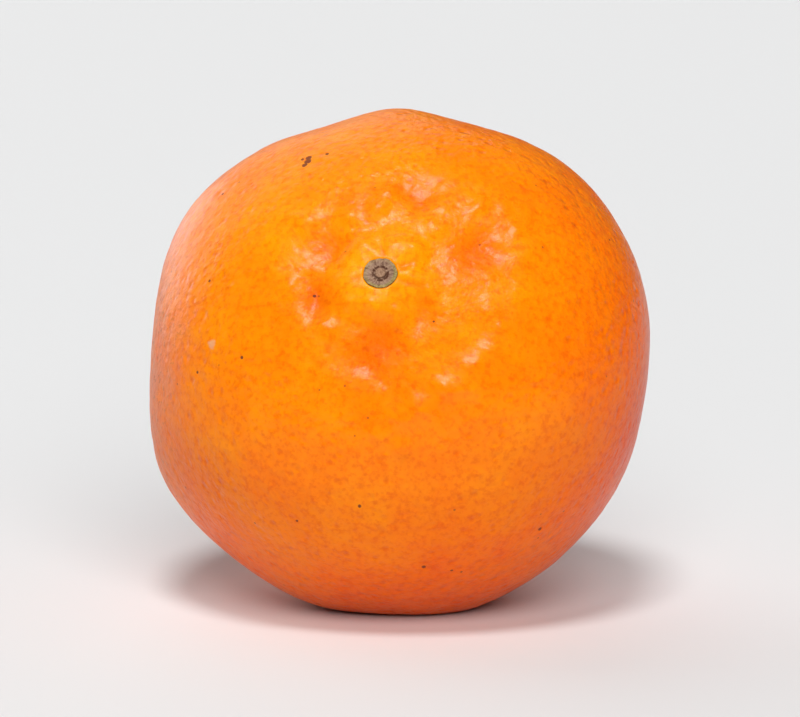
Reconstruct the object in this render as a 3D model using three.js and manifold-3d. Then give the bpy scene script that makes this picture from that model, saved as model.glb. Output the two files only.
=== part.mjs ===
// A whole mandarin, picked with its stem cut off short at the button. It lies on its side on a small
// flat spot, with the stem end facing -Y and tipped up. Millimetres, +Z up. The origin is on the
// resting flat, in the middle of the fruit's bounding box.
//
// The skin is first a flattened ball of revolution about the stem axis. Its radius is then raised and
// lowered by the broad swells of the segments, the lobed crown round the button, the dents of the
// moat round the crown, and the shallow dish of the blossom end.

import * as THREE from "three";
import { mergeVertices } from "three/addons/utils/BufferGeometryUtils.js";
import Module from "manifold-3d";

// Driving dimensions of the ball, in millimetres.
const EQUATOR_RADIUS = 36.4;
const POLE_RADIUS = 31.2;
const BALL_POWER = 2.2; // 2 is an ellipse; more makes the two ends flatter and the shoulders fuller
const RESTING_DEPTH = 1.5; // how much of the ball's lowest cap the resting flat takes off

// How the fruit lies: the stem axis climbs from the surface and is turned a little to -X.
const STEM_CLIMB_DEG = 33.3;
const STEM_TURN_DEG = -6.7;

// The button: a calyx disc let into the skin, with the cut stem on it.
const CALYX_RADIUS = 2.4;
const CALYX_THICKNESS = 1.25;
const CALYX_STAND = 0.3; // how far the rim of the calyx stands above the skin beside it
const CALYX_DISH = 0.3; // how far its middle lies below its rim
const CALYX_SEPALS = 5;
const SEPAL_SWELL = 0.03; // share of the radius
const STUB_RADIUS = 0.95;
const STUB_HEIGHT = 0.55;
const GAP = 0.3; // clear space between neighbouring pieces

// The mesh of the skin.
const SKIN_SEGMENTS = 76;
const SKIN_RINGS = 42;
const RING_CROWDING = 1.35; // above 1 sets the rings closer together at the stem end

// Broad swells and hollows. Each is [degrees from the stem, degrees round it, millimetres, spread in
// degrees], and fades as a bell curve. Round the stem, 0 is +X and 90 is up.
const SWELLS = [
  [84, 43, 0.5, 20],
  [70, 78, -0.9, 17],
  [67, 93, 0.9, 12],
  [66, 107, -0.9, 13],
  [73, 147, 1.1, 19],
  [83, 180, -0.5, 16],
  [95, 210, 1.8, 18],
  [104, 250, 0.8, 18],
  [112, 282, 0.8, 15],
  [108, 331, -0.4, 15],
  [98, 356, -1.2, 18],
  [128, 20, 0.6, 24],
  [132, 95, -0.6, 22],
  [126, 150, 0.5, 24],
  [138, 260, -0.5, 24],
  [48, 330, 0.5, 17],
  [52, 235, 0.4, 18],
];

// Dents of the moat round the crown, in the same form.
const DENTS = [
  [18.5, 270, -1.5, 6.0],
  [26, 22, -1.2, 6.5],
  [25, 72, -0.9, 5.0],
  [18, 199, -1.2, 4.5],
  [18, 154, -0.9, 5.0],
  [15, 322, -0.7, 4.0],
];

// The stem end as a whole: a wide shallow dish, and in it the crown, a ring of blunt lobes.
const STEM_DISH = { depth: 1.5, spread: 24 };
const CROWN = { rise: 1.15, middle: 8.5, spread: 4.2, lobes: 5, lobeShare: 0.3, turn: 62 };

// The blossom end, opposite the stem: a dish with a low boss where the flower's style fell off.
const BLOSSOM_DISH = { depth: 1.7, spread: 21 };
const BLOSSOM_BOSS = { rise: 0.7, spread: 5 };

// The mesh of the button, and of the tools that cut the skin.
const BUTTON_SEGMENTS = 45;
const POCKET_TOP = 5; // above the skin, so that the pocket's cutter comes out of it
const TABLE_WIDTH = 200;
const TABLE_THICKNESS = 40;

const rad = THREE.MathUtils.degToRad;
const deg = THREE.MathUtils.radToDeg;

const wasm = await Module();
wasm.setup();

// A bell curve: 1 at zero distance, 1/e at the spread.
function bell(distance, spread) {
  return Math.exp(-((distance / spread) ** 2));
}

// The unit vector at an angle from the stem axis (+Z) and an angle round it.
function direction(fromStemDeg, roundDeg) {
  const across = Math.sin(rad(fromStemDeg));
  const round = rad(roundDeg);
  return new THREE.Vector3(across * Math.cos(round), across * Math.sin(round), Math.cos(rad(fromStemDeg)));
}

// The ball's radius at an angle from the stem axis, in radians, before any relief.
function ballRadius(fromStem) {
  const across = Math.abs(Math.sin(fromStem)) / EQUATOR_RADIUS;
  const along = Math.abs(Math.cos(fromStem)) / POLE_RADIUS;
  return (across ** BALL_POWER + along ** BALL_POWER) ** (-1 / BALL_POWER);
}

const bumps = [...SWELLS, ...DENTS].map(([fromStem, round, rise, spread]) => ({
  toward: direction(fromStem, round),
  rise,
  spread,
}));

// The height of the relief, in millimetres, in a unit direction.
function relief(unit) {
  const fromStem = deg(unit.angleTo(new THREE.Vector3(0, 0, 1)));
  const round = Math.atan2(unit.y, unit.x);
  const fromBlossom = 180 - fromStem;
  const lobes = Math.cos(CROWN.lobes * (round - rad(CROWN.turn)));
  let height = 0;
  for (const { toward, rise, spread } of bumps) {
    height += rise * bell(deg(unit.angleTo(toward)), spread);
  }
  height -= STEM_DISH.depth * bell(fromStem, STEM_DISH.spread);
  height += CROWN.rise * bell(fromStem - CROWN.middle, CROWN.spread) * (1 + CROWN.lobeShare * lobes);
  height -= BLOSSOM_DISH.depth * bell(fromBlossom, BLOSSOM_DISH.spread);
  height += BLOSSOM_BOSS.rise * bell(fromBlossom, BLOSSOM_BOSS.spread);
  return height;
}

// A lathe profile, given as [radius, height] points, turned about +Z.
function turned(profile, segments) {
  const points = profile.map(([radius, height]) => new THREE.Vector2(radius, height));
  return new THREE.LatheGeometry(points, segments).rotateX(Math.PI / 2);
}

// The same geometry with only shared positions left, as a closed solid needs.
function welded(geometry) {
  const bare = geometry.clone();
  bare.deleteAttribute("normal");
  bare.deleteAttribute("uv");
  return mergeVertices(bare, 1e-4);
}

// A closed geometry as a manifold-3d solid.
function solid(geometry) {
  const bare = welded(geometry);
  return new wasm.Manifold(
    new wasm.Mesh({
      numProp: 3,
      vertProperties: bare.attributes.position.array,
      triVerts: new Uint32Array(bare.index.array),
    }),
  );
}

// A manifold-3d solid as a geometry.
function geometryOf(body) {
  const mesh = body.getMesh();
  const geometry = new THREE.BufferGeometry();
  geometry.setAttribute("position", new THREE.BufferAttribute(mesh.vertProperties, 3));
  geometry.setIndex(new THREE.BufferAttribute(mesh.triVerts, 1));
  geometry.computeVertexNormals();
  return geometry;
}

// The skin about its own centre, with the stem axis along +Z.
function skinGeometry() {
  const profile = [];
  for (let ring = SKIN_RINGS; ring >= 0; ring -= 1) {
    const fromStem = Math.PI * (ring / SKIN_RINGS) ** RING_CROWDING;
    const radius = ballRadius(fromStem);
    const onAxis = ring === 0 || ring === SKIN_RINGS;
    profile.push([onAxis ? 0 : radius * Math.sin(fromStem), radius * Math.cos(fromStem)]);
  }
  const geometry = welded(turned(profile, SKIN_SEGMENTS));
  const position = geometry.attributes.position;
  const point = new THREE.Vector3();
  for (let i = 0; i < position.count; i += 1) {
    point.fromBufferAttribute(position, i);
    const unit = point.clone().normalize();
    point.addScaledVector(unit, relief(unit));
    position.setXYZ(i, point.x, point.y, point.z);
  }
  return geometry;
}

// The height of the skin at the stem, along the stem axis.
function stemHeight() {
  return POLE_RADIUS + relief(new THREE.Vector3(0, 0, 1));
}

// The pocket for the calyx, a clear gap wider and deeper than the disc.
function pocketGeometry() {
  const radius = CALYX_RADIUS * (1 + SEPAL_SWELL) + GAP;
  const floor = CALYX_STAND - CALYX_THICKNESS - GAP;
  const profile = [[0, floor], [radius, floor], [radius, POCKET_TOP], [0, POCKET_TOP]];
  return turned(profile, BUTTON_SEGMENTS).translate(0, 0, stemHeight());
}

// The calyx about the middle of the skin at the stem: a disc with a rounded, gently lobed rim.
function calyxGeometry() {
  const bottom = CALYX_STAND - CALYX_THICKNESS;
  const profile = [
    [0, bottom],
    [CALYX_RADIUS * 0.84, bottom],
    [CALYX_RADIUS, bottom + 0.3],
    [CALYX_RADIUS, CALYX_STAND - 0.35],
    [CALYX_RADIUS * 0.94, CALYX_STAND - 0.1],
    [CALYX_RADIUS * 0.84, CALYX_STAND],
    [CALYX_RADIUS * 0.72, CALYX_STAND - 0.08],
    [CALYX_RADIUS * 0.62, CALYX_STAND - CALYX_DISH],
    [0, CALYX_STAND - CALYX_DISH],
  ];
  const geometry = turned(profile, BUTTON_SEGMENTS);
  const position = geometry.attributes.position;
  for (let i = 0; i < position.count; i += 1) {
    const x = position.getX(i);
    const y = position.getY(i);
    const swell = 1 + SEPAL_SWELL * Math.cos(CALYX_SEPALS * Math.atan2(y, x));
    position.setXY(i, x * swell, y * swell);
  }
  return geometry;
}

// The cut stem, a short boss with a worn edge.
function stubGeometry() {
  const bottom = CALYX_STAND - CALYX_DISH + GAP;
  const top = bottom + STUB_HEIGHT;
  const profile = [
    [0, bottom],
    [STUB_RADIUS * 0.94, bottom],
    [STUB_RADIUS, bottom + 0.12],
    [STUB_RADIUS, top - 0.2],
    [STUB_RADIUS * 0.82, top - 0.05],
    [STUB_RADIUS * 0.5, top],
    [0, top - 0.06],
  ];
  return turned(profile, BUTTON_SEGMENTS);
}

function material(name, colour, roughness) {
  return new THREE.MeshStandardMaterial({ name, color: colour, roughness, metalness: 0 });
}

function piece(name, geometry, look) {
  const mesh = new THREE.Mesh(geometry, look);
  mesh.name = name;
  return mesh;
}

// The resting pose: the stem axis is tipped from +Z towards -Y, then turned about +Z.
const pose = new THREE.Matrix4()
  .makeRotationZ(rad(STEM_TURN_DEG))
  .multiply(new THREE.Matrix4().makeRotationX(rad(90 - STEM_CLIMB_DEG)));

// The skin in the resting pose, with the pocket taken out and the lowest cap cut off flat.
const uncut = solid(skinGeometry()).subtract(solid(pocketGeometry()));
const lying = solid(geometryOf(uncut).applyMatrix4(pose));
const lowest = lying.boundingBox().min[2];
const table = new THREE.BoxGeometry(TABLE_WIDTH, TABLE_WIDTH, TABLE_THICKNESS);
table.translate(0, 0, lowest + RESTING_DEPTH - TABLE_THICKNESS / 2);
const resting = geometryOf(lying.subtract(solid(table)));

// The fruit's centre, placed so that the flat is at z = 0 and the bounding box is centred on the origin.
resting.computeBoundingBox();
const { min, max } = resting.boundingBox;
const centre = new THREE.Vector3(-(min.x + max.x) / 2, -(min.y + max.y) / 2, -min.z);

const peel = material("peel", new THREE.Color(0.93, 0.42, 0.05), 0.42);
const sepal = material("sepal", new THREE.Color(0.45, 0.42, 0.22), 0.8);
const bark = material("bark", new THREE.Color(0.55, 0.42, 0.3), 0.85);

const mandarin = new THREE.Group();
const fruit = piece("fruit", resting, peel);
fruit.position.copy(centre);
mandarin.add(fruit);

const button = new THREE.Group();
button.quaternion.setFromRotationMatrix(pose);
button.position.copy(centre).add(new THREE.Vector3(0, 0, stemHeight()).applyMatrix4(pose));
button.add(piece("calyx", calyxGeometry(), sepal));
button.add(piece("stem_stub", stubGeometry(), bark));
mandarin.add(button);

export default mandarin;
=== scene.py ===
"""A whole mandarin lying on its side on a small flat spot, its stem end towards the camera.

The peel is a dense grid of rings round the stem axis. Each point starts on a flattened ball, and is then
raised or lowered by broad swells, the dish and crown of the stem end, dents, knobs, creases and the
pebbling of the oil glands. The button at the stem end is a calyx disc with the cut stem on it.
Shapes are worked out in millimetres about the fruit's own centre, with the stem along +Z, and are then
turned into the resting pose and scaled to metres. Angles are in degrees unless a comment says otherwise.
"""

import math

import bpy
import numpy as np
from mathutils import Matrix, Vector, noise


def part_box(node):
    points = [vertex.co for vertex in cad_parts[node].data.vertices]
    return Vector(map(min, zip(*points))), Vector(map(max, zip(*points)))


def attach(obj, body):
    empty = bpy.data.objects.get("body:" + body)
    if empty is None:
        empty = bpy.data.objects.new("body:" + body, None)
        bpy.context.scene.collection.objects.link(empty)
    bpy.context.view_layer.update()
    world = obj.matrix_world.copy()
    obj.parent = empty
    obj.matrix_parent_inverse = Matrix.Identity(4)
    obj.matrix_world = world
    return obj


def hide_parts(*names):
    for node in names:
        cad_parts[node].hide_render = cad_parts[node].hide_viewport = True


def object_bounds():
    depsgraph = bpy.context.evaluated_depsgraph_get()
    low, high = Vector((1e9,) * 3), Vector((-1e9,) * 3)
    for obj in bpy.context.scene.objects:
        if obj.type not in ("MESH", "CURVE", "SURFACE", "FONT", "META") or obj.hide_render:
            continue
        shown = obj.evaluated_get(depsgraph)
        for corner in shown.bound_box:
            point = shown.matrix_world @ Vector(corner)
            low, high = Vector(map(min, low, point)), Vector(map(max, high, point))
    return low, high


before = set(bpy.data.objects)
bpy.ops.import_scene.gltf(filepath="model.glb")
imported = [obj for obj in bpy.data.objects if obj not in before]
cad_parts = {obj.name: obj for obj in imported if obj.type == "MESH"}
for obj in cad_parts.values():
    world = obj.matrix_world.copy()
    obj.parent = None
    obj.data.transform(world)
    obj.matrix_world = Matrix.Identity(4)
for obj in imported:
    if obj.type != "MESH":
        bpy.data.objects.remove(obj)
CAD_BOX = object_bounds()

MM = 0.001

# ---------------------------------------------------------------- the fruit's driving dimensions

EQUATOR_RADIUS = 36.4
POLE_RADIUS = 31.2
BALL_POWER = 2.2
STEM_CLIMB = 33.3
STEM_TURN = -6.7
RESTING_DEPTH = 1.5  # how much of the fruit the flat spot takes off
RESTING_GIVE = 0.35  # how softly the skin rounds into the flat spot

RINGS = 260
SEGMENTS = 372
RING_CROWDING = 1.35  # above 1 sets the rings closer together at the stem end

CALYX_RADIUS = 2.4
CALYX_SQUASH = 0.07  # how much shorter the button is from top to bottom than across
CALYX_STAND = 0.3  # the rim's height above the skin beside it
CALYX_SUNK, CALYX_SEGMENTS, CALYX_RINGS = 0.9, 180, 56
GROOVE_RADIUS = 1.05  # the groove in the button, round the cut stem
POCKET_DEPTH = 1.1
POCKET_SLOPE = -0.45, 0.15  # where the pocket's side starts and ends, from the button's edge

STUB_RADIUS, STUB_RISE = 0.82, 0.42
STUB_SUNK, STUB_SEGMENTS, STUB_RINGS = 0.25, 96, 28

# The button's top, in millimetres. A pair says how far out something starts and ends.
CALYX_FULLNESS = 0.9  # below 1 sets the grid's points further out
CALYX_HOLLOW_DEPTH, CALYX_HOLLOW_SIDE = 0.22, (1.25, 1.95)
CALYX_EDGE_DROP, CALYX_EDGE_START, CALYX_EDGE_POWER = 0.55, 0.80, 2.2
GROOVE_DEPTH, GROOVE_SPREAD, GROOVE_LEAST = 0.16, 0.2, 0.75
STREAKS_START, STREAKS_END = (0.9, 1.4), (2.1, 2.4)
STUB_EDGE_DROP, STUB_EDGE_POWER = 0.30, 4
PITH_DEPTH, PITH_SPREAD = 0.08, 0.16
# The button's green edge: how far out it starts, the bearing in degrees where it is greenest, the
# cosines of the angle from there between which it fades, and how green it is on the far side.
GREEN_START, GREEN_TURN, GREEN_SIDE, GREEN_LEAST = (1.7, 2.1), -55, (-0.6, 0.7), 0.35
# Radial streaks are noise read on a ring of this radius, which climbs this fast on the way out.
SHAPE_STREAK, COLOUR_STREAK = (2.2, 0.25), (1.6, 0.35)
# The lobes of an outline: share of the radius, how many, and turn in radians.
CALYX_LOBES = [(0.025, 5, 0.6), (0.012, 11, 0.0)]
STUB_LOBES = [(0.07, 3, 1.0), (0.05, 7, 0.0)]

# Bumps and hollows of the skin. Each is (degrees from the stem, degrees round it, millimetres, spread
# in degrees), and fades as a bell curve. Round the stem, 0 is +X and 90 is up.
SWELLS = [
    (84, 43, 0.5, 20),
    (70, 78, -0.9, 17),
    (67, 93, 0.9, 12),
    (66, 107, -0.9, 13),
    (73, 147, 1.1, 19),
    (83, 180, -0.5, 16),
    (95, 210, 1.8, 18),
    (104, 250, 0.8, 18),
    (112, 282, 0.8, 15),
    (108, 331, -0.4, 15),
    (98, 356, -1.2, 18),
    (128, 20, 0.6, 24),
    (132, 95, -0.6, 22),
    (126, 150, 0.5, 24),
    (138, 260, -0.5, 24),
    (48, 330, 0.5, 17),
    (52, 235, 0.4, 18),
]
DENTS = [
    (19.5, 268, -0.8, 7.5),
    (25, 20, -0.8, 7.0),
    (25, 72, -0.7, 5.5),
    (17, 200, -0.8, 5.0),
    (17, 154, -0.6, 5.0),
    (15, 322, -0.5, 4.5),
]
# Small firm knobs on the crown's edge and on the rim of the dish.
KNOBS = [
    (11, 42, 0.45, 2.6),
    (9, 20, 0.3, 2.0),
    (11.5, 227, 0.45, 2.2),
    (9, 250, 0.35, 2.0),
    (12, 297, 0.45, 2.4),
    (15.5, 294, 0.35, 2.0),
    (13, 339, 0.4, 2.4),
    (20, 228, 0.5, 2.6),
    (19, 48, 0.4, 2.8),
    (24.5, 90, 0.4, 2.4),
    (20, 96, 0.45, 2.6),
    (20, 119, 0.4, 2.6),
    (25.5, 142, 0.5, 3.4),
    (24, 187, 0.35, 2.6),
    (28, 177, 0.3, 2.4),
    (32.5, 43, 0.45, 2.4),
    (37, 37, 0.35, 2.0),
    (41, 33, 0.3, 2.3),
    (37, 26, 0.3, 2.3),
    (38, 16, 0.3, 2.3),
    (29, 344, 0.35, 2.6),
    (35.5, 357, 0.35, 3.0),
    (36, 347, 0.35, 2.6),
    (33, 317, 0.58, 2.6),
    (34, 301, 0.58, 2.5),
    (36, 289, 0.55, 2.4),
    (36, 309, 0.5, 2.4),
    (38, 282, 0.42, 2.4),
    (34, 326, 0.45, 2.4),
    (33, 337, 0.4, 2.4),
    (41, 271, 0.5, 2.4),
    (44, 280, 0.5, 2.4),
]
# Where the stem end's dish rolls over into the shoulder, at each bearing: degrees from the stem, and
# how high the rim stands there in millimetres.
RIM = [
    (0, 38, 0.1),
    (40, 40, 0.35),
    (60, 38, 0.1),
    (85, 27, 0.0),
    (115, 25, 0.15),
    (145, 28, 0.45),
    (180, 30, 0.3),
    (225, 26, 0.2),
    (265, 35, 0.3),
    (285, 38, 0.6),
    (315, 37, 0.65),
    (340, 37, 0.3),
]
RIM_INNER_SPREAD, RIM_OUTER_SPREAD = 6.0, 17.0

# Where in the noise the push along each axis is read, when bumps are bent out of true, and each push as
# (how big the noise is, how far it pushes) in millimetres.
WARP_OFFSETS = 13.7, 41.3, 78.9
DENT_WARP, DENT_EDGE_WARP, KNOB_WARP = (6.0, 1.8), (2.4, 0.5), (2.5, 0.7)

# Layers of noise: how strong, how big in millimetres, and an offset into the noise.
RIM_WANDER = [(2.2, 5.0, 3.7)]
LUMPS = [(0.15, 4.8, 11.3), (0.06, 2.4, 5.1)]
FURROW_WANDER = [(1.6, 6.0, 2.2)]
UNEVENNESS = [(0.20, 15.0, 21.0), (0.10, 6.5, 14.0), (0.035, 1.7, 31.0)]
TONE_DRIFT = [(0.16, 14.0, 7.0), (0.07, 5.0, 9.0)]
SHEEN_AND_WEAR_DRIFT = [(0.5, 7.0, 17.0)]
GROOVE_DRIFT, CALYX_STREAKS = [(0.5, 0.7, 2.0)], [(0.17, 0.45, 1.0)]
CALYX_GRAIN, STUB_GRAIN = [(0.10, 0.6, 6.0)], [(0.10, 0.35, 3.0)]

STEM_DISH_DEPTH, STEM_DISH_SPREAD = 1.5, 24
CROWN_RISE, CROWN_EDGE, CROWN_SLOPE = 1.1, 11.0, 5.5
CROWN_LOBES, CROWN_LOBE_SHARE, CROWN_TURN = 5, 0.16, 62
CROWN_SIDE = 7, 13  # where the crown's smooth top ends and the lumps begin, from the stem
LUMPS_END = -2, 12  # where the lumps die away, from the rim
BLOSSOM_DISH_DEPTH, BLOSSOM_DISH_SPREAD = 1.7, 21
BLOSSOM_BOSS_RISE, BLOSSOM_BOSS_SPREAD = 0.7, 5
STYLE_PIT_DEPTH, STYLE_PIT_SPREAD = 0.35, 1.7
FURROWS, FURROW_DEPTH, FURROW_MIDDLE, FURROW_SPREAD = 9, 0.32, 11, 6.5

GLAND_SPACING, GLAND_OFFSET, GLAND_SPREAD, GLAND_DEPTH = 2.1, 4.4, 0.33, 0.11
GLAND_START = 12, 40  # the glands' pits deepen between these, from the stem

# Short creases that run out from the button: degrees round the stem, where each starts and ends in
# degrees from the stem, and its depth in millimetres.
CREASES = [
    (14, 5.0, 12.0, 0.14),
    (335, 5.0, 13.5, 0.16),
    (305, 5.0, 9.0, 0.08),
    (80, 5.0, 9.0, 0.08),
    (190, 5.0, 9.5, 0.08),
]
CREASE_SPREAD = 0.6

# Dark specks of the skin: degrees from the stem, degrees round it, radius in millimetres.
SPECKS = [
    (42.2, 121.9, 0.66),
    (43.4, 120.9, 0.58),
    (41.4, 123.6, 0.5),
    (44.1, 122.9, 0.3),
    (41.8, 114.6, 0.32),
    (46, 177, 0.26),
    (40.5, 210, 0.3),
    (53.6, 203.5, 0.26),
    (57.8, 266, 0.3),
    (65.6, 250, 0.22),
    (79, 308, 0.32),
    (76.8, 280, 0.34),
    (80, 286, 0.24),
    (81.5, 288, 0.2),
    (56.2, 146, 0.26),
    (18.5, 197, 0.3),
    (65.2, 23, 0.2),
    (19, 320, 0.2),
    (118, 120, 0.35),
    (132, 310, 0.3),
    (109, 70, 0.25),
]
# A small pale scar: degrees from the stem and round it, and its radius in millimetres.
TAN_SCAR, TAN_SCAR_RADIUS = (46.8, 199), 0.95

# The peel's tone is 0 where it is yellow-orange and 1 where it is deep red-orange. It rises away from
# the stem, and each patch is (degrees from the stem, degrees round it, change, spread in degrees).
TONE_AT_STEM, TONE_RISE, TONE_RISE_ANGLES = 0.30, 0.42, (45, 115)
TONE_PATCHES = [
    (0, 0, -0.36, 14),
    (45, 120, -0.10, 35),
    (92, 352, 0.45, 30),
    (95, 280, 0.12, 35),
]
# A smoother patch of the shoulder, in the same form.
SMOOTH_PATCH = [(60, 150, 0.75, 24)]
# This side also carries a painted sheen: the pale reflection along it, as a greyish pink film.
# The rubbed side: its middle, where its edge starts and ends in degrees from there, and its strength.
SHEEN_AND_WEAR_MIDDLE, SHEEN_AND_WEAR_EDGE, SHEEN_AND_WEAR_SHARE = (92, 180), (18, 50), 0.85


# ---------------------------------------------------------------- vector helpers, on whole arrays


def unit_vector(from_stem, turn):
    """The direction at an angle from the stem axis (+Z) and an angle round it."""
    away, round_ = math.radians(from_stem), math.radians(turn)
    return np.array([math.sin(away) * math.cos(round_), math.sin(away) * math.sin(round_), math.cos(away)])


def disc_points(reach, turn, height):
    """Points at a distance out from the stem axis, a bearing in radians and a height along the axis."""
    return np.stack([reach * np.cos(turn), reach * np.sin(turn), height], -1)


def bell(distance, spread):
    return np.exp(-((distance / spread) ** 2))


def smoothstep(low, high, value):
    share = np.clip((value - low) / (high - low), 0, 1)
    return share * share * (3 - 2 * share)


def angle_to(units, toward):
    """Degrees between each of the unit vectors and one direction."""
    return np.degrees(np.arccos(np.clip(units @ toward, -1, 1)))


def perlin(points, size, offset):
    """Smooth noise of about -1 to 1 whose lumps are about `size` across."""
    scaled = points / size + offset
    return np.array([noise.noise(Vector(p)) for p in scaled.tolist()])


def layered(points, layers):
    """Layers of noise added together."""
    return sum(rise * perlin(points, size, offset) for rise, size, offset in layers)


def waves(turn, lobes):
    """The waves of a lobed outline, at bearings in radians."""
    return sum(share * np.cos(count * turn + phase) for share, count, phase in lobes)


def radial_streak(streak, turn, reach):
    """Where the noise of radial streaks is read, for points at a bearing and a distance out."""
    ring, climb = streak
    return disc_points(ring, turn, reach * climb)


def cell_distance(points, size, offset):
    """Distance to the nearest cell centre, with cells about `size` across, in cell sizes."""
    scaled = points / size + offset
    return np.array([noise.voronoi(Vector(p))[0][0] for p in scaled.tolist()])


# ---------------------------------------------------------------- the skin's shape


def ball_radius(from_stem):
    """The radius of the flattened ball at an angle from the stem."""
    across = np.abs(np.sin(np.radians(from_stem))) / EQUATOR_RADIUS
    along = np.abs(np.cos(np.radians(from_stem))) / POLE_RADIUS
    return (across**BALL_POWER + along**BALL_POWER) ** (-1 / BALL_POWER)


def bumps(units, table):
    """The height of a table's bumps and hollows at each of the unit vectors."""
    height = np.zeros(len(units))
    for from_stem, turn, rise, spread in table:
        height += rise * bell(angle_to(units, unit_vector(from_stem, turn)), spread)
    return height


def warped(units, size, amount):
    """The same directions pushed about by smooth noise, so that what is drawn on them is less regular."""
    push = np.stack([perlin(units * EQUATOR_RADIUS, size, offset) for offset in WARP_OFFSETS], -1)
    moved = units + push * amount / EQUATOR_RADIUS
    return moved / np.linalg.norm(moved, axis=1)[:, None]


def polar(units):
    """Degrees from the stem and degrees round it."""
    from_stem = np.degrees(np.arccos(np.clip(units[:, 2], -1, 1)))
    return from_stem, np.degrees(np.arctan2(units[:, 1], units[:, 0]))


def skin_grid():
    """Unit vectors of the grid's points, stem pole first, and its faces."""
    share = np.arange(1, RINGS) / RINGS
    from_stem, turn = np.pi * share**RING_CROWDING, np.arange(SEGMENTS) * 2 * np.pi / SEGMENTS
    away, round_ = np.meshgrid(from_stem, turn, indexing="ij")
    ring_units = disc_points(np.sin(away), round_, np.cos(away))
    units = np.vstack([[0, 0, 1], ring_units.reshape(-1, 3), [0, 0, -1]])
    last = len(units) - 1
    bottom = 1 + (RINGS - 2) * SEGMENTS
    faces = []
    for s in range(SEGMENTS):
        after = (s + 1) % SEGMENTS
        faces.append((0, 1 + s, 1 + after))
        for ring in range(RINGS - 2):
            here, below = 1 + ring * SEGMENTS, 1 + (ring + 1) * SEGMENTS
            faces.append((here + s, below + s, below + after, here + after))
        faces.append((bottom + s, last, bottom + after))
    return units, faces


def end_relief(units):
    """The dish and crown of the stem end, and the dish and boss of the blossom end."""
    from_stem, turn = polar(units)
    lobes = np.cos(np.radians(CROWN_LOBES * (turn - CROWN_TURN)))
    edge = CROWN_EDGE * (1 + CROWN_LOBE_SHARE * lobes)
    height = -STEM_DISH_DEPTH * bell(from_stem, STEM_DISH_SPREAD)
    height += CROWN_RISE * (1 - smoothstep(edge - CROWN_SLOPE, edge + CROWN_SLOPE, from_stem))
    height -= BLOSSOM_DISH_DEPTH * bell(180 - from_stem, BLOSSOM_DISH_SPREAD)
    height += BLOSSOM_BOSS_RISE * bell(180 - from_stem, BLOSSOM_BOSS_SPREAD)
    return height


def rim_relief(base, from_stem, turn):
    """The low rim where the stem end's dish ends, with its lumps, and how lumpy each point is."""
    bearings, angles, rises = zip(*RIM)
    rim = np.interp(turn % 360, bearings, angles, period=360)
    rise = np.interp(turn % 360, bearings, rises, period=360)
    past = from_stem - rim + layered(base, RIM_WANDER)
    height = rise * bell(past, np.where(past < 0, RIM_INNER_SPREAD, RIM_OUTER_SPREAD))
    starts, ends = LUMPS_END
    lumpy = smoothstep(*CROWN_SIDE, from_stem) * (1 - smoothstep(rim + starts, rim + ends, from_stem))
    return height + lumpy * layered(base, LUMPS), lumpy


def crease_relief(from_stem, turn):
    """The creases that sweep out from the button, and how creased each point is."""
    height, creased = np.zeros(len(turn)), np.zeros(len(turn))
    for bearing, start, end, depth in CREASES:
        swept = np.radians((turn - bearing - from_stem + 180) % 360 - 180)
        along = smoothstep(start - 1, start + 1, from_stem) * (1 - smoothstep(end - 4, end + 1, from_stem))
        crease = along * bell(swept * np.radians(from_stem) * POLE_RADIUS, CREASE_SPREAD)
        height -= depth * crease
        creased = np.maximum(creased, crease)
    return height, creased


def pocket_relief(from_stem, turn):
    """The pocket that the button sits in, a little shorter from top to bottom than across."""
    arc = np.radians(from_stem) * POLE_RADIUS / (1 - CALYX_SQUASH * np.sin(np.radians(turn)) ** 2)
    starts, ends = POCKET_SLOPE
    return -POCKET_DEPTH * (1 - smoothstep(CALYX_RADIUS + starts, CALYX_RADIUS + ends, arc))


def blossom_relief(base, from_blossom, turn):
    """The furrows that run in to the style's scar, and the scar's pit."""
    furrow = 0.5 + 0.5 * np.cos(np.radians(FURROWS * turn) + layered(base, FURROW_WANDER))
    height = -FURROW_DEPTH * furrow * bell(from_blossom - FURROW_MIDDLE, FURROW_SPREAD)
    return height - STYLE_PIT_DEPTH * bell(from_blossom, STYLE_PIT_SPREAD)


def gland_pits(base, from_stem):
    """The pits of the oil glands, which fade out on the crown."""
    pits = bell(cell_distance(base, GLAND_SPACING, GLAND_OFFSET), GLAND_SPREAD)
    return -GLAND_DEPTH * pits * smoothstep(*GLAND_START, from_stem)


def skin_shape(units):
    """The skin's points about the fruit's centre, and the fields that its material reads."""
    from_stem, turn = polar(units)
    base = units * EQUATOR_RADIUS
    crooked = warped(warped(units, *DENT_WARP), *DENT_EDGE_WARP)
    dented = bumps(crooked, DENTS)
    rimmed, lumpy = rim_relief(base, from_stem, turn)
    folded, creased = crease_relief(from_stem, turn)
    height = bumps(units, SWELLS) + dented + end_relief(crooked)
    height += rimmed + bumps(warped(units, *KNOB_WARP), KNOBS) + folded
    height += pocket_relief(from_stem, turn) + blossom_relief(base, 180 - from_stem, turn)
    height += layered(base, UNEVENNESS) + gland_pits(base, from_stem)
    points = units * (ball_radius(from_stem) + height)[:, None]
    fields = {
        "tone": skin_tone(units, base, from_stem),
        # Painted shade: how much the dents and creases darken the peel's colour.
        "hollow_shade": np.clip(-dented + 0.5 * creased, 0, 1),
        "lumpy": lumpy,
        "smooth": np.maximum(1 - smoothstep(*CROWN_SIDE, from_stem), bumps(units, SMOOTH_PATCH)),
        # Where the rubbed side's painted sheen and its flecks and creasing are.
        "sheen_and_wear": sheen_and_wear_side(units, base),
    }
    return points, fields


def skin_tone(units, base, from_stem):
    """0 where the peel is yellow-orange, 1 where it is deep red-orange."""
    tone = TONE_AT_STEM + TONE_RISE * smoothstep(*TONE_RISE_ANGLES, from_stem)
    return np.clip(tone + bumps(units, TONE_PATCHES) + layered(base, TONE_DRIFT), 0, 1)


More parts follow.
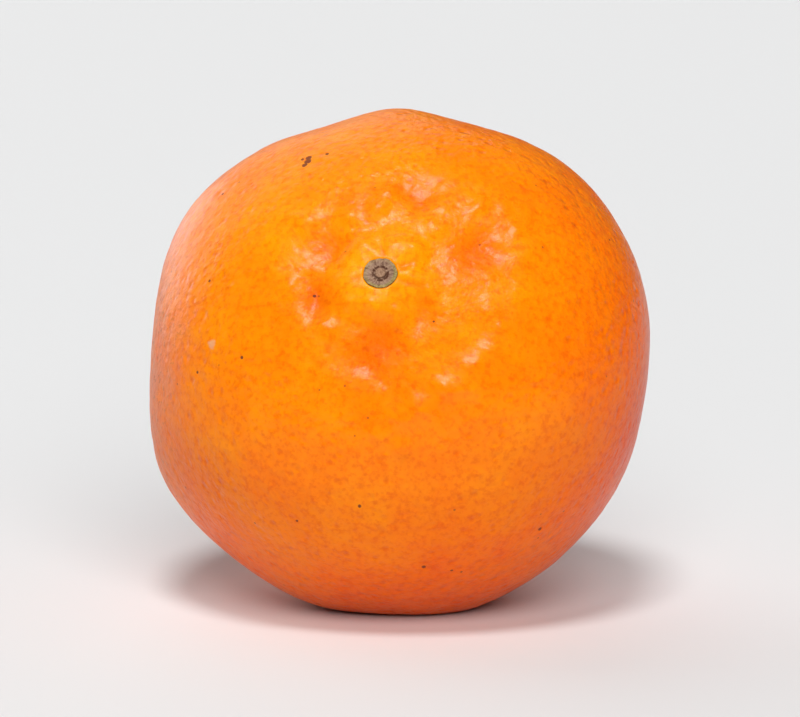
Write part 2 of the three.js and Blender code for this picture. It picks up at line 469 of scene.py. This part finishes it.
def sheen_and_wear_side(units, base):
    """1 on the rubbed, leathery side of the fruit, where its sheen is painted on, 0 elsewhere."""
    side = 1 - smoothstep(*SHEEN_AND_WEAR_EDGE, angle_to(units, unit_vector(*SHEEN_AND_WEAR_MIDDLE)))
    return np.clip(side * (SHEEN_AND_WEAR_SHARE + layered(base, SHEEN_AND_WEAR_DRIFT)), 0, 1)


# ---------------------------------------------------------------- from the fruit's frame to the row's


POSE = np.array(
    Matrix.Rotation(math.radians(STEM_TURN), 3, "Z")
    @ Matrix.Rotation(math.radians(90 - STEM_CLIMB), 3, "X")
)


def rest_on_flat(points):
    """The turned points pressed flat underneath, set on z = 0 in the middle of the CAD fruit's box."""
    lying = points @ POSE.T
    flat = lying[:, 2].min() + RESTING_DEPTH
    lying[:, 2] = flat + RESTING_GIVE * np.logaddexp(0, (lying[:, 2] - flat) / RESTING_GIVE)
    low, high = lying.min(0), lying.max(0)
    cad_low, cad_high = (np.array(corner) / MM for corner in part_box("fruit"))
    shift = (cad_low + cad_high - low - high) / 2
    shift[2] = cad_low[2] - low[2]
    return lying + shift, shift


def make_mesh(name, points_mm, faces, fields, skin):
    """A smooth mesh object in metres, carrying its fields and its own coordinates in millimetres."""
    mesh = bpy.data.meshes.new(name)
    mesh.from_pydata((points_mm * MM).tolist(), [], faces)
    mesh.shade_smooth()
    for field, values in fields.items():
        mesh.attributes.new(field, "FLOAT", "POINT").data.foreach_set("value", values.astype(np.float32))
    own = mesh.attributes.new("skin", "FLOAT_VECTOR", "POINT")
    own.data.foreach_set("vector", skin.astype(np.float32).ravel())
    piece = bpy.data.objects.new(name, mesh)
    bpy.context.scene.collection.objects.link(piece)
    return piece


# ---------------------------------------------------------------- materials


def srgb(red, green, blue):
    """A colour given as 0 to 255 in sRGB, as linear RGBA."""
    linear = [((c / 255 + 0.055) / 1.055) ** 2.4 if c > 10 else c / 255 / 12.92 for c in (red, green, blue)]
    return (*linear, 1.0)


# Colour scales, each as (place on the scale, colour).
PEEL_TONES = [
    (0.0, srgb(251, 157, 2)),
    (0.35, srgb(249, 129, 0)),
    (0.65, srgb(247, 109, 0)),
    (1.0, srgb(240, 84, 0)),
]
CALYX_BROWNS = [
    (0.36, srgb(104, 72, 54)),
    (0.46, srgb(142, 110, 90)),
    (0.56, srgb(166, 134, 110)),
    (0.68, srgb(182, 152, 126)),
]
CALYX_GREENS = [
    (0.35, srgb(112, 98, 54)),
    (0.5, srgb(146, 128, 78)),
    (0.65, srgb(168, 150, 100)),
]
STUB_BROWNS = [
    (0.34, srgb(118, 86, 64)),
    (0.5, srgb(158, 122, 96)),
    (0.66, srgb(182, 148, 120)),
]
# Painted shade in the dents and creases.
DENT_SHADE_COLOUR = srgb(222, 82, 0)
GLAND_SHADE, NET_LIGHT = srgb(228, 168, 140), srgb(18, 34, 8)  # multiplied by, and added
# The film is painted sheen; the flecks are the peel's own marks.
SHEEN_FILM_COLOUR, FLECK_COLOUR = srgb(218, 140, 112), srgb(150, 80, 50)
TAN_COLOUR, STYLE_SCAR_COLOUR = srgb(214, 168, 134), srgb(104, 70, 42)
SPECK_COLOUR, FAINT_SPECK_COLOUR = srgb(92, 40, 36), srgb(140, 62, 34)
# The button's edge colour is painted shade where the button meets the skin.
GROOVE_COLOUR, CALYX_EDGE_SHADE_COLOUR, STUB_EDGE_COLOUR = srgb(84, 50, 34), srgb(70, 62, 28), srgb(92, 58, 40)

# How far apart the peel's glands, small dots, paler net and faint specks are, in millimetres.
GLAND_CELL, SMALL_DOT_CELL, NET_CELL, FAINT_SPECK_CELL = 2.0, 0.95, 1.4, 4.6


class Shader:
    """A material's node tree, with one short method for each kind of node that it uses."""

    def __init__(self, name):
        self.material = bpy.data.materials.new(name)
        self.material.use_nodes = True
        self.tree = self.material.node_tree
        self.surface = self.tree.nodes["Principled BSDF"]

    def _set(self, socket, value):
        if isinstance(value, bpy.types.NodeSocket):
            self.tree.links.new(value, socket)
        else:
            socket.default_value = value

    def attribute(self, name, output="Fac"):
        node = self.tree.nodes.new("ShaderNodeAttribute")
        node.attribute_name = name
        return node.outputs[output]

    def math(self, operation, first, second=0.0, third=0.0, clamp=False):
        node = self.tree.nodes.new("ShaderNodeMath")
        node.operation = operation
        node.use_clamp = clamp
        for socket, value in zip(node.inputs, (first, second, third)):
            self._set(socket, value)
        return node.outputs[0]

    def times(self, first, second):
        return self.math("MULTIPLY", first, second)

    def plus(self, total, field, share, clamp=False):
        """The total with a share of a field added to it, or taken off where the share is below 0."""
        return self.math("MULTIPLY_ADD", field, share, total, clamp)

    def distance(self, first, second):
        node = self.tree.nodes.new("ShaderNodeVectorMath")
        node.operation = "DISTANCE"
        self._set(node.inputs[0], first)
        self._set(node.inputs[1], second)
        return node.outputs["Value"]

    def step(self, value, low, high):
        """0 below low, 1 above high, smooth between; low may be the larger."""
        node = self.tree.nodes.new("ShaderNodeMapRange")
        node.interpolation_type = "SMOOTHSTEP"
        for name, item in (("Value", value), ("From Min", low), ("From Max", high)):
            self._set(node.inputs[name], item)
        return node.outputs[0]

    def noise(self, vector, size, detail=2.0, roughness=0.5):
        node = self.tree.nodes.new("ShaderNodeTexNoise")
        self._set(node.inputs["Vector"], vector)
        node.inputs["Scale"].default_value = 1 / size
        node.inputs["Detail"].default_value = detail
        node.inputs["Roughness"].default_value = roughness
        return node.outputs["Fac"]

    def cells(self, vector, size, output="Distance"):
        node = self.tree.nodes.new("ShaderNodeTexVoronoi")
        self._set(node.inputs["Vector"], vector)
        node.inputs["Scale"].default_value = 1 / size
        return node.outputs[output]

    def mix(self, share, first, second, blend="MIX"):
        node = self.tree.nodes.new("ShaderNodeMix")
        node.data_type = "RGBA"
        node.blend_type = blend
        for socket, value in ((node.inputs[0], share), (node.inputs[6], first), (node.inputs[7], second)):
            self._set(socket, value)
        return node.outputs[2]

    def tint(self, colour, mask, share, other):
        """The colour, changed to the other one by a share where the mask is 1."""
        return self.mix(self.times(mask, share), colour, other)

    def ramp(self, value, stops):
        node = self.tree.nodes.new("ShaderNodeValToRGB")
        elements = node.color_ramp.elements
        while len(elements) < len(stops):
            elements.new(1.0)
        for element, (position, colour) in zip(elements, stops):
            element.position = position
            element.color = colour
        self._set(node.inputs[0], value)
        return node.outputs["Color"]

    def bump(self, height_mm):
        node = self.tree.nodes.new("ShaderNodeBump")
        node.inputs["Strength"].default_value = 1.0
        node.inputs["Distance"].default_value = MM
        self._set(node.inputs["Height"], height_mm)
        return node.outputs["Normal"]

    def finish(self, colour, roughness, height_mm, **constants):
        self._set(self.surface.inputs["Base Color"], colour)
        self._set(self.surface.inputs["Roughness"], roughness)
        self._set(self.surface.inputs["Normal"], self.bump(height_mm))
        for name, value in constants.items():
            self.surface.inputs[name.replace("_", " ")].default_value = value
        return self.material


def peel_ground(s, skin):
    """Yellow-orange to red-orange, patchy, and darker in the dents and creases as painted shade."""
    patches = s.math("MULTIPLY_ADD", s.noise(skin, 4.0, 4.0, 0.6), 0.30, -0.15)
    ground = s.ramp(s.math("ADD", s.attribute("tone"), patches, clamp=True), PEEL_TONES)
    # Painted shade: the dents and creases are tinted darker.
    return s.tint(ground, s.attribute("hollow_shade"), 0.8, DENT_SHADE_COLOUR)


def peel_glands(s, skin, colour, gland, small_dot, net):
    """The oil glands: darker dots of two sizes, mottled, in a slightly paler net; part is painted shade."""
    dot = s.step(gland, 0.30, 0.06)
    uneven = s.step(s.cells(skin, GLAND_CELL, "Color"), 0.25, 0.75)
    # Mottle: partly the peel's own blotches, partly painted shade for its fine relief.
    mottle = s.step(s.noise(skin, 1.0, 3.0, 0.6), 0.45, 0.72)
    dark = s.mix(1.0, colour, GLAND_SHADE, "MULTIPLY")
    # The darker net is painted shade in the fine grooves between the glands.
    for mask, share in ((s.times(dot, uneven), 0.42), (small_dot, 0.20), (net, 0.10), (mottle, 0.44)):
        colour = s.tint(colour, mask, share, dark)
    pale = s.mix(1.0, colour, NET_LIGHT, "ADD")
    return s.tint(colour, s.step(gland, 0.45, 0.75), 0.35, pale)


def sheen_and_rubbed_side(s, skin, colour, sheen_and_wear):
    """A greyish pink film that is painted sheen, with the peel's brown flecks, on the rubbed side."""
    film = s.times(sheen_and_wear, s.step(s.noise(skin, 3.0, 4.0, 0.55), 0.22, 0.70))
    # Painted sheen: the pale reflection along this side, as a greyish pink film.
    colour = s.tint(colour, film, 0.66, SHEEN_FILM_COLOUR)
    flecks = s.times(sheen_and_wear, s.step(s.noise(skin, 0.8, 3.0, 0.6), 0.57, 0.65))
    return s.tint(colour, flecks, 0.45, FLECK_COLOUR)


def peel_specks(s, skin, ragged):
    """1 on the dark specks, 0 elsewhere."""
    nearest = None
    for from_stem, turn, radius in SPECKS:
        place = tuple(unit_vector(from_stem, turn) * EQUATOR_RADIUS)
        away = s.math("DIVIDE", s.distance(skin, place), radius)
        nearest = away if nearest is None else s.math("MINIMUM", nearest, away)
    return s.step(s.times(nearest, ragged), 1.0, 0.7)


def peel_marks(s, skin, colour, ragged, speck):
    """The tan scar, the dark specks, fainter ones all over, and the scar opposite the stem."""
    torn = s.math("MULTIPLY_ADD", s.noise(skin, 0.8, 4.0, 0.7), 2.4, -0.2)
    tan = s.distance(skin, tuple(unit_vector(*TAN_SCAR) * EQUATOR_RADIUS))
    tan = s.step(s.times(tan, torn), TAN_SCAR_RADIUS, 0.3 * TAN_SCAR_RADIUS)
    colour = s.tint(colour, tan, 0.65, TAN_COLOUR)
    colour = s.tint(colour, speck, 0.85, SPECK_COLOUR)
    faint = s.step(s.cells(skin, FAINT_SPECK_CELL), 0.050, 0.030)
    colour = s.tint(colour, faint, 0.6, FAINT_SPECK_COLOUR)
    style = s.step(s.times(s.distance(skin, (0, 0, -EQUATOR_RADIUS)), ragged), 1.5, 0.8)
    return s.mix(style, colour, STYLE_SCAR_COLOUR)


def peel_height(s, skin, gland, small_dot, net, lumpy, sheen_and_wear, speck):
    """Gland pits, pores and fine grain, softer at the stem end, and creasing on the rubbed side."""
    smooth = s.attribute("smooth")
    pitting = s.math("MULTIPLY_ADD", s.step(gland, 0.42, 0.0), -0.14, s.times(net, -0.05))
    pitting = s.plus(pitting, s.noise(skin, 1.0, 3.0, 0.55), 0.16)
    pitting = s.plus(pitting, small_dot, -0.02)
    pitting = s.plus(pitting, s.noise(skin, 0.6), 0.012)
    coarse = s.plus(s.plus(1.0, lumpy, -0.75), smooth, -0.85)
    height = s.times(pitting, s.plus(coarse, sheen_and_wear, -0.45, clamp=True))
    swell = s.plus(s.plus(0.11, lumpy, -0.035), smooth, -0.06)
    height = s.plus(height, s.noise(skin, 1.8), swell)
    height = s.plus(height, s.times(sheen_and_wear, s.noise(skin, 0.8, 4.0, 0.6)), 0.10)
    return s.plus(height, speck, -0.05)


def peel_material():
    s = Shader("citrus_peel")
    skin = s.attribute("skin", "Vector")
    lumpy, sheen_and_wear = s.attribute("lumpy"), s.attribute("sheen_and_wear")
    gland = s.cells(skin, GLAND_CELL)
    small_dot = s.step(s.cells(skin, SMALL_DOT_CELL), 0.38, 0.10)
    # The net's grooves: sunk in the bump, and darkened in the colour as painted shade.
    net = s.step(s.cells(skin, NET_CELL), 0.40, 0.85)
    ragged = s.math("MULTIPLY_ADD", s.noise(skin, 0.25), 0.7, 0.65)
    speck = peel_specks(s, skin, ragged)

    colour = peel_glands(s, skin, peel_ground(s, skin), gland, small_dot, net)
    colour = peel_marks(s, skin, sheen_and_rubbed_side(s, skin, colour, sheen_and_wear), ragged, speck)
    roughness = s.math("MULTIPLY_ADD", s.noise(skin, 1.1, 3.0), 0.14, 0.25)
    roughness = s.plus(s.plus(roughness, lumpy, -0.03), sheen_and_wear, 0.12)
    return s.finish(
        colour,
        s.plus(roughness, speck, 0.25, clamp=True),
        peel_height(s, skin, gland, small_dot, net, lumpy, sheen_and_wear, speck),
        IOR=1.4,
        Specular_IOR_Level=0.25,
        Subsurface_Weight=0.22,
        Subsurface_Radius=(1.0, 0.36, 0.10),
        Subsurface_Scale=2.2 * MM,
    )


def calyx_material():
    s = Shader("dried_calyx")
    skin, radial = s.attribute("skin", "Vector"), s.attribute("radial", "Vector")
    reach = s.attribute("reach")
    streaks = s.noise(radial, 0.30, 4.0, 0.65)
    mottle = s.noise(skin, 0.35, 4.0, 0.65)
    disc = s.ramp(s.math("MULTIPLY_ADD", streaks, 0.6, s.times(mottle, 0.4)), CALYX_BROWNS)
    colour = s.mix(s.attribute("rim"), disc, s.ramp(mottle, CALYX_GREENS))
    groove = s.step(s.math("ABSOLUTE", s.math("SUBTRACT", reach, GROOVE_RADIUS)), 0.26, 0.08)
    broken = s.step(s.noise(radial, 0.5), 0.36, 0.5)
    colour = s.tint(colour, groove, broken, GROOVE_COLOUR)
    # Painted shade: the button's edge and side wall are darkened where it meets the skin.
    edge = s.step(reach, CALYX_RADIUS * 0.97, CALYX_RADIUS * 1.03)
    colour = s.mix(edge, colour, CALYX_EDGE_SHADE_COLOUR)
    roughness = s.math("MULTIPLY_ADD", mottle, 0.2, 0.62)
    height = s.math("MULTIPLY_ADD", streaks, 0.09, s.times(mottle, 0.07))
    return s.finish(colour, roughness, height, Specular_IOR_Level=0.3)


def stub_material():
    s = Shader("cut_stem")
    skin, reach = s.attribute("skin", "Vector"), s.attribute("reach")
    grain = s.noise(skin, 0.22, 4.0, 0.7)
    edge = s.step(reach, STUB_RADIUS * 0.72, STUB_RADIUS)
    colour = s.tint(s.ramp(grain, STUB_BROWNS), edge, 0.85, STUB_EDGE_COLOUR)
    roughness = s.math("MULTIPLY_ADD", grain, 0.2, 0.66)
    return s.finish(colour, roughness, s.times(grain, 0.14), Specular_IOR_Level=0.3)


# ---------------------------------------------------------------- the pieces


def make_fruit():
    """The peel. Gives the shift that the button's pieces then share."""
    units, faces = skin_grid()
    points, fields = skin_shape(units)
    resting, shift = rest_on_flat(points)
    piece = make_mesh("mandarin_peel", resting, faces, fields, units * EQUATOR_RADIUS)
    piece.data.materials.append(peel_material())
    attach(piece, "root")
    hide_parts("fruit")
    return shift


def disc_grid(rings, segments):
    """Shares of the way out from the middle and bearings of a disc's points, and its faces."""
    share = np.repeat(np.arange(1, rings + 1) / rings, segments)
    turn = np.tile(np.arange(segments) * 2 * np.pi / segments, rings)
    faces = []
    for s in range(segments):
        after = (s + 1) % segments
        faces.append((0, 1 + s, 1 + after))
        for ring in range(rings - 1):
            here, out = 1 + ring * segments, 1 + (ring + 1) * segments
            faces.append((here + s, out + s, out + after, here + after))
    return np.append(0.0, share), np.append(0.0, turn), faces


def closed_disc(upper, bottom, faces, segments):
    """A disc with the given top points, closed by a wall down to a flat bottom, and its faces."""
    edge = len(upper) - segments
    lower = upper[edge:] * [1, 1, 0] + [0, 0, bottom]
    middle = [[0.0, 0.0, bottom]]
    closed = list(faces)
    base, hub = len(upper), len(upper) + segments
    for s in range(segments):
        after = (s + 1) % segments
        closed.append((edge + s, base + s, base + after, edge + after))
        closed.append((base + s, hub, base + after))
    return np.vstack([upper, lower, middle]), closed


def place_on_stem(points, shift):
    """Points about the middle of the button, put where the skin beside the button is."""
    skin_height = POLE_RADIUS - STEM_DISH_DEPTH + CROWN_RISE
    return (points + [0, 0, skin_height]) @ POSE.T + shift


def button_piece(name, upper, sunk, faces, segments, shift, edge_field=None):
    """A piece of the button, with what its material reads: how far out it is, and its radial streaks."""
    points, closed = closed_disc(upper, -sunk, faces, segments)
    across = np.hypot(points[:, 0], points[:, 1])
    bearing = np.arctan2(points[:, 1], points[:, 0])
    fields = {"reach": across}
    if edge_field:
        fields["rim"] = edge_field(across, bearing)
    piece = make_mesh(name, place_on_stem(points, shift), closed, fields, points)
    streak = radial_streak(COLOUR_STREAK, bearing, across)
    own = piece.data.attributes.new("radial", "FLOAT_VECTOR", "POINT")
    own.data.foreach_set("vector", streak.astype(np.float32).ravel())
    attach(piece, "root")
    return piece


def calyx_rim(across, bearing):
    """1 on the button's green edge, which is greenest on the lower right."""
    lower_right = smoothstep(*GREEN_SIDE, np.cos(bearing - math.radians(GREEN_TURN)))
    return smoothstep(*GREEN_START, across) * (GREEN_LEAST + (1 - GREEN_LEAST) * lower_right)


def calyx_top(share, reach, turn):
    """The button's top: dished, with a groove round the cut stem, radial streaks and a rounded edge."""
    streak = radial_streak(SHAPE_STREAK, turn, reach)
    top = CALYX_STAND - CALYX_HOLLOW_DEPTH * (1 - smoothstep(*CALYX_HOLLOW_SIDE, reach))
    groove = GROOVE_DEPTH * bell(reach - GROOVE_RADIUS, GROOVE_SPREAD)
    top -= groove * (GROOVE_LEAST + layered(streak, GROOVE_DRIFT))
    streaked = smoothstep(*STREAKS_START, reach) * (1 - smoothstep(*STREAKS_END, reach))
    top += layered(streak, CALYX_STREAKS) * streaked
    top += layered(disc_points(reach, turn, 0 * reach), CALYX_GRAIN)
    return top - CALYX_EDGE_DROP * smoothstep(CALYX_EDGE_START, 1.0, share) ** CALYX_EDGE_POWER


def make_calyx(shift):
    share, turn, faces = disc_grid(CALYX_RINGS, CALYX_SEGMENTS)
    lobes = waves(turn, CALYX_LOBES) - CALYX_SQUASH * np.sin(turn) ** 2
    reach = CALYX_RADIUS * np.sin(share * np.pi / 2) ** CALYX_FULLNESS * (1 + lobes * share)
    upper = disc_points(reach, turn, calyx_top(share, reach, turn))
    piece = button_piece("calyx_button", upper, CALYX_SUNK, faces, CALYX_SEGMENTS, shift, calyx_rim)
    piece.data.materials.append(calyx_material())
    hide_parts("calyx")


def make_stub(shift):
    share, turn, faces = disc_grid(STUB_RINGS, STUB_SEGMENTS)
    reach = STUB_RADIUS * np.sin(share * np.pi / 2) * (1 + waves(turn, STUB_LOBES) * share)
    top = STUB_RISE - STUB_EDGE_DROP * share**STUB_EDGE_POWER
    top += layered(disc_points(reach, turn, 0 * reach), STUB_GRAIN)
    top -= PITH_DEPTH * bell(reach, PITH_SPREAD)
    upper = disc_points(reach, turn, top)
    piece = button_piece("cut_stem", upper, STUB_SUNK, faces, STUB_SEGMENTS, shift)
    piece.data.materials.append(stub_material())
    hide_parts("stem_stub")


# ---------------------------------------------------------------- floor, light and camera

# The lamps: azimuth and elevation in degrees, how wide each looks in degrees, and its strength.
LAMPS = {
    "key": (-10, 68, 15, 1.6),
    "fill": (6, 34, 36, 2.15),
    "left_wall": (-141, 2, 40, 0.72),
    "back_wall": (-149, 34, 66, 0.8),
}
NO_GLINT_LAMP = "fill"
FLOOR_HALF = 20.0  # metres, so that the floor's edge is too far off to show
FLOOR_TONE, BACKDROP_TONE = 0.77, 0.82
SURROUNDINGS_COLOUR, SURROUNDINGS_STRENGTH = (0.95, 0.97, 1.0, 1), 0.08
CAMERA_ELEVATION, CAMERA_DISTANCE, CAMERA_LENS = 10, 0.9, 282  # degrees, metres, millimetres
CAMERA_NEAR, CAMERA_FAR = 0.01, 100


def grey(tone):
    return (tone, tone, tone, 1)


def make_floor():
    half = FLOOR_HALF
    mesh = bpy.data.meshes.new("floor")
    corners = [(-half, -half, 0), (half, -half, 0), (half, half, 0), (-half, half, 0)]
    mesh.from_pydata(corners, [], [(0, 1, 2, 3)])
    floor = bpy.data.objects.new("floor", mesh)
    bpy.context.scene.collection.objects.link(floor)
    s = Shader("pale_floor")
    s.surface.inputs["Base Color"].default_value = grey(FLOOR_TONE)
    s.surface.inputs["Roughness"].default_value = 0.7
    s.surface.inputs["Specular IOR Level"].default_value = 0.2
    mesh.materials.append(s.material)


def towards(azimuth, elevation):
    """The direction from the fruit to a place, with azimuth 0 in front of it and 90 on its right."""
    round_, up = math.radians(azimuth), math.radians(elevation)
    return Vector((math.sin(round_) * math.cos(up), -math.cos(round_) * math.cos(up), math.sin(up)))


def aim_back(thing, back, distance):
    """Put a lamp or camera at a distance along a direction from the fruit, looking back at the fruit."""
    thing.location = CENTRE + back * distance
    thing.rotation_euler = (-back).to_track_quat("-Z", "Y").to_euler()
    bpy.context.scene.collection.objects.link(thing)


def far_softbox(name, azimuth, elevation, width, strength):
    """A softbox so large and far that the floor is lit evenly all over. It doesn't show in the picture."""
    light = bpy.data.lights.new(name, "SUN")
    light.angle = math.radians(width)
    light.energy = strength
    lamp = bpy.data.objects.new(name, light)
    lamp.visible_camera = False
    aim_back(lamp, towards(azimuth, elevation), 1.0)
    return lamp


def make_lights():
    lamps = {name: far_softbox(name, *placing) for name, placing in LAMPS.items()}
    lamps[NO_GLINT_LAMP].visible_glossy = False


def make_world():
    """Dim surroundings, with a backdrop of the floor's own tone where the camera looks past the floor."""
    world = bpy.data.worlds.new("studio")
    world.use_nodes = True
    nodes, links = world.node_tree.nodes, world.node_tree.links
    surroundings = nodes["Background"]
    surroundings.inputs["Color"].default_value = SURROUNDINGS_COLOUR
    surroundings.inputs["Strength"].default_value = SURROUNDINGS_STRENGTH
    backdrop = nodes.new("ShaderNodeBackground")
    backdrop.inputs["Color"].default_value = grey(BACKDROP_TONE)
    chosen = nodes.new("ShaderNodeMixShader")
    links.new(nodes.new("ShaderNodeLightPath").outputs["Is Camera Ray"], chosen.inputs[0])
    links.new(surroundings.outputs[0], chosen.inputs[1])
    links.new(backdrop.outputs[0], chosen.inputs[2])
    links.new(chosen.outputs[0], nodes["World Output"].inputs["Surface"])
    bpy.context.scene.world = world


def make_camera():
    data = bpy.data.cameras.new("camera")
    data.lens = CAMERA_LENS
    data.clip_start, data.clip_end = CAMERA_NEAR, CAMERA_FAR
    camera = bpy.data.objects.new("camera", data)
    aim_back(camera, towards(0, CAMERA_ELEVATION), CAMERA_DISTANCE)
    bpy.context.scene.camera = camera


CENTRE = (CAD_BOX[0] + CAD_BOX[1]) / 2
place = make_fruit()
make_calyx(place)
make_stub(place)
make_floor()
make_world()
make_lights()
make_camera()
bpy.context.scene.view_settings.view_transform = "Standard"
